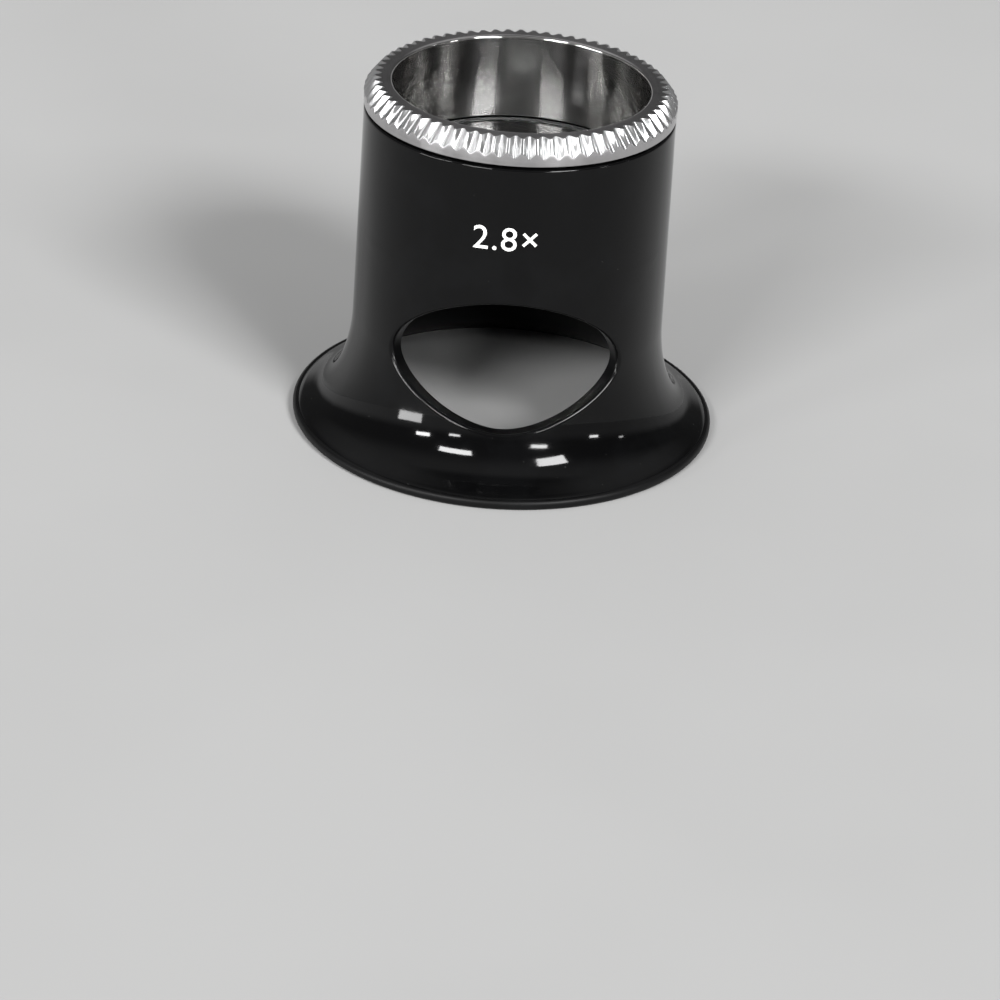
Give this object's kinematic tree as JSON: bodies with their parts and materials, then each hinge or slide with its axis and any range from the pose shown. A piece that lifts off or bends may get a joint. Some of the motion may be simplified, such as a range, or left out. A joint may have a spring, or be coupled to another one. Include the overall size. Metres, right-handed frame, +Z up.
{
  "type": "eye loupe",
  "caption": "Watch repairer's eye loupe: flared black eyecup with a viewing window, a biconvex lens on an inner ledge, and a knurled aluminium ring that screws down on it.",
  "frame": {"origin": "centre of the foot, on the plane that the eyecup stands on", "axes": "+Z up the optical axis from the foot to the knurled ring, -Y out through the viewing window, +X to the right seen from the window"},
  "size_m": [0.042, 0.042, 0.0355],
  "materials": {
    "black_plastic": "moulded, glossy",
    "crown_glass": "polished, clear",
    "turned_aluminium": "turned, bright"
  },
  "bodies": {
    "eyecup": {"eyecup": "black_plastic"},
    "lens": {"lens": "crown_glass"},
    "retaining_ring": {"retaining_ring": "turned_aluminium"}
  },
  "joints": [
    {"name": "lens_lift", "type": "slide", "parent": "eyecup", "child": "lens", "axis": [0, 0, 1], "range_m": [0, 0.004]},
    {"name": "ring_turn", "type": "hinge", "parent": "lens", "child": "retaining_ring", "pos_m": [0, 0, 0.03306], "axis": [0, 0, 1], "range_deg": [0, 1440]}
  ],
  "couplings": [
    {"joint": "lens_lift", "follows": "ring_turn", "m_per_rad": 0.00015915}
  ]
}
